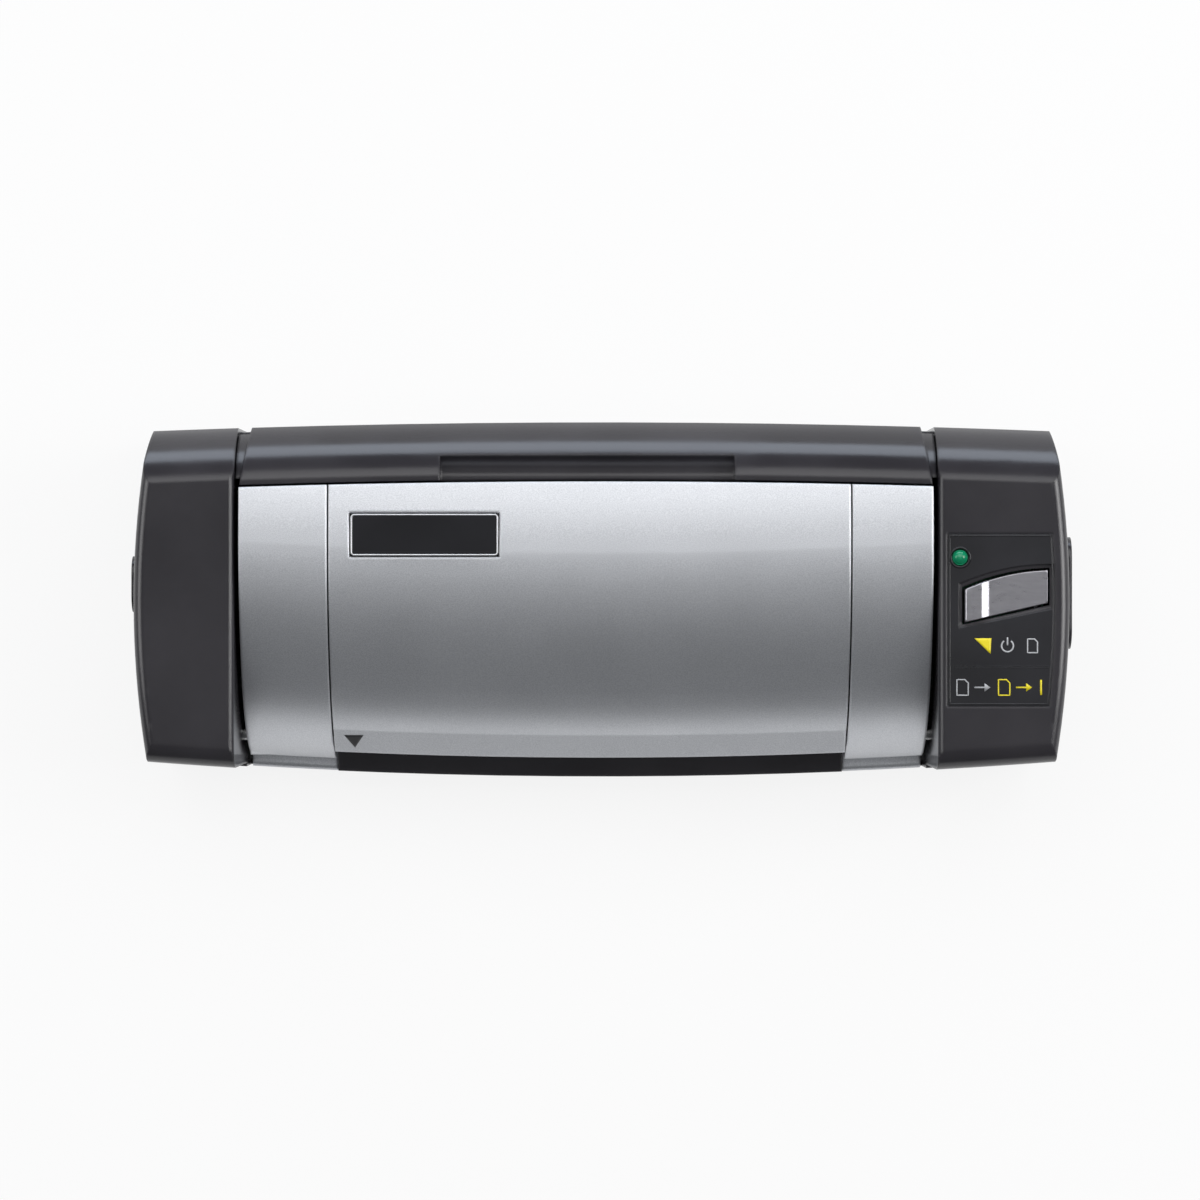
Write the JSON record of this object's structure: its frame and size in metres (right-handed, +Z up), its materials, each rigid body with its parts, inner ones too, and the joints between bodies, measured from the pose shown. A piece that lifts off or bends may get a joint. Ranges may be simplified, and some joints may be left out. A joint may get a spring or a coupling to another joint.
{
  "type": "sheet-fed scanner",
  "caption": "Small sheet-fed document scanner: black end caps with a rocking scan button, silver hinged lid over the feed rollers and sensors, rear exit slot.",
  "frame": {"origin": "middle of the footprint, on the surface that the rubber feet rest on", "axes": "+Z up, +X to the user's right along the long side, -Y towards the user and the feed mouth"},
  "size_m": [0.2008, 0.077, 0.0508],
  "materials": {
    "black_shell": "satin black moulded plastic",
    "silver_paint": "fine metallic silver paint on moulded plastic",
    "toe_silver": "fine metallic silver paint on moulded plastic",
    "name_plate": "gloss black, bare",
    "button_silver": "bright satin plated plastic",
    "lamp_green": "clear green lens",
    "overlay": null,
    "inner_black": "matt black moulded plastic",
    "inner_grey": "matt grey moulded plastic",
    "steel": "plated sheet steel",
    "pin_steel": "ground steel rod",
    "screw_steel": "zinc-plated screws",
    "roller_rubber": "ground rubber",
    "foot_rubber": "soft rubber",
    "gear_white": "natural acetal",
    "bronze": "sintered bronze",
    "motor_can": "plated can",
    "glass": "clear window",
    "board_green": "solder-masked board",
    "spring_steel": "spring wire",
    "socket_metal": "tinned socket shell"
  },
  "bodies": {
    "base": {"base_housing": "black_shell", "base_screws": "screw_steel", "board_screws": "screw_steel", "control_board": "board_green", "control_overlay": "overlay", "drive_motor": "motor_can", "exit_guide": "inner_black", "feed_bed": "inner_black", "flag_sensor": "inner_black", "gear_pins": "pin_steel", "left_end_cap": "black_shell", "left_front_toe": "toe_silver", "left_hinge_pin": "pin_steel", "left_side_plate": "steel", "lower_sensor_board": "board_green", "lower_sensor_channel": "inner_grey", "lower_sensor_glass": "glass", "main_board": "board_green", "motor_screws": "screw_steel", "rear_bridge": "black_shell", "right_end_cap": "black_shell", "right_front_toe": "toe_silver", "right_hinge_pin": "pin_steel", "right_side_plate": "steel", "rubber_feet": "foot_rubber", "shaft_bushes": "bronze", "status_lamp": "lamp_green", "tact_switch": "inner_black", "usb_socket": "socket_metal"},
    "lid": {"lid_middle_panel": "silver_paint", "left_lid_wing": "silver_paint", "right_lid_wing": "silver_paint", "name_plate": "name_plate", "lid_frame": "inner_black", "lid_screws": "screw_steel", "upper_guide": "inner_black", "front_pinch_springs": "spring_steel", "rear_pinch_springs": "spring_steel", "upper_sensor_springs": "spring_steel"},
    "drive_roller": {"drive_shaft": "pin_steel", "drive_rollers": "roller_rubber", "drive_gear": "gear_white"},
    "exit_roller": {"exit_shaft": "pin_steel", "exit_rollers": "roller_rubber", "exit_gear": "gear_white"},
    "idler": {"idler_gear": "gear_white"},
    "reduction": {"reduction_gear": "gear_white"},
    "rotor": {"motor_pinion": "bronze", "motor_shaft_rod": "pin_steel"},
    "front_holder": {"front_pinch_holder": "inner_black"},
    "rear_holder": {"rear_pinch_holder": "inner_black"},
    "front_pinch": {"front_pinch_roller": "inner_grey"},
    "rear_pinch": {"rear_pinch_roller": "inner_grey"},
    "upper_sensor": {"upper_sensor_channel": "inner_grey", "upper_sensor_glass": "glass", "upper_sensor_board": "board_green"},
    "flag": {"paper_flag": "inner_grey"},
    "button": {"scan_button": "button_silver"},
    "plunger": {"switch_plunger": "gear_white"}
  },
  "joints": [
    {"name": "lid_hinge", "type": "hinge", "parent": "base", "child": "lid", "pos_m": [-0.0025, -0.0288, 0.017], "axis": [1, 0, 0], "range_deg": [0, 70]},
    {"name": "drive_spin", "type": "hinge", "parent": "base", "child": "drive_roller", "pos_m": [0, -0.017, 0.015], "axis": [1, 0, 0], "continuous": true},
    {"name": "exit_spin", "type": "hinge", "parent": "base", "child": "exit_roller", "pos_m": [0, 0.018, 0.015], "axis": [1, 0, 0], "continuous": true},
    {"name": "idler_spin", "type": "hinge", "parent": "base", "child": "idler", "pos_m": [0.0755, 0.0005, 0.021], "axis": [1, 0, 0], "continuous": true},
    {"name": "reduction_spin", "type": "hinge", "parent": "base", "child": "reduction", "pos_m": [0.076, -0.02145, 0.02722], "axis": [1, 0, 0], "continuous": true},
    {"name": "rotor_spin", "type": "hinge", "parent": "base", "child": "rotor", "pos_m": [0.078, -0.01006, 0.02882], "axis": [1, 0, 0], "continuous": true},
    {"name": "front_holder_lift", "type": "slide", "parent": "lid", "child": "front_holder", "axis": [0, 0, 1], "range_m": [0, 0.0008], "stiffness_N_per_m": 400, "springref_m": -0.001, "deforming": ["front_pinch_springs"]},
    {"name": "front_pinch_spin", "type": "hinge", "parent": "front_holder", "child": "front_pinch", "pos_m": [-0.0025, -0.017, 0.0243], "axis": [1, 0, 0], "continuous": true},
    {"name": "rear_holder_lift", "type": "slide", "parent": "lid", "child": "rear_holder", "axis": [0, 0, 1], "range_m": [0, 0.0008], "stiffness_N_per_m": 400, "springref_m": -0.001, "deforming": ["rear_pinch_springs"]},
    {"name": "rear_pinch_spin", "type": "hinge", "parent": "rear_holder", "child": "rear_pinch", "pos_m": [-0.0025, 0.018, 0.0243], "axis": [1, 0, 0], "continuous": true},
    {"name": "sensor_lift", "type": "slide", "parent": "lid", "child": "upper_sensor", "axis": [0, 0, 1], "range_m": [0, 0.0008], "stiffness_N_per_m": 400, "springref_m": -0.001, "deforming": ["upper_sensor_springs"]},
    {"name": "flag_swing", "type": "hinge", "parent": "base", "child": "flag", "pos_m": [-0.01, -0.0228, 0.0142], "axis": [1, 0, 0], "range_deg": [-35, 0], "stiffness_Nm_per_rad": 0.0004, "springref_deg": 11.46},
    {"name": "button_press", "type": "hinge", "parent": "base", "child": "button", "pos_m": [0.0925, 0.003, 0.0454], "axis": [0, -1, 0], "range_deg": [0, 4], "stiffness_Nm_per_rad": 0.12, "springref_deg": -5.73},
    {"name": "plunger_press", "type": "slide", "parent": "base", "child": "plunger", "axis": [0, 0, -1], "range_m": [0, 0.0009]}
  ],
  "couplings": [
    {"joint": "exit_spin", "follows": "drive_spin", "ratio": 1},
    {"joint": "idler_spin", "follows": "drive_spin", "ratio": -0.68182},
    {"joint": "reduction_spin", "follows": "drive_spin", "ratio": -1.3636},
    {"joint": "rotor_spin", "follows": "drive_spin", "ratio": 3.8636},
    {"joint": "front_pinch_spin", "follows": "drive_spin", "ratio": -1.25},
    {"joint": "rear_pinch_spin", "follows": "drive_spin", "ratio": -1.25},
    {"joint": "plunger_press", "follows": "button_press", "m_per_rad": 0.0127}
  ]
}
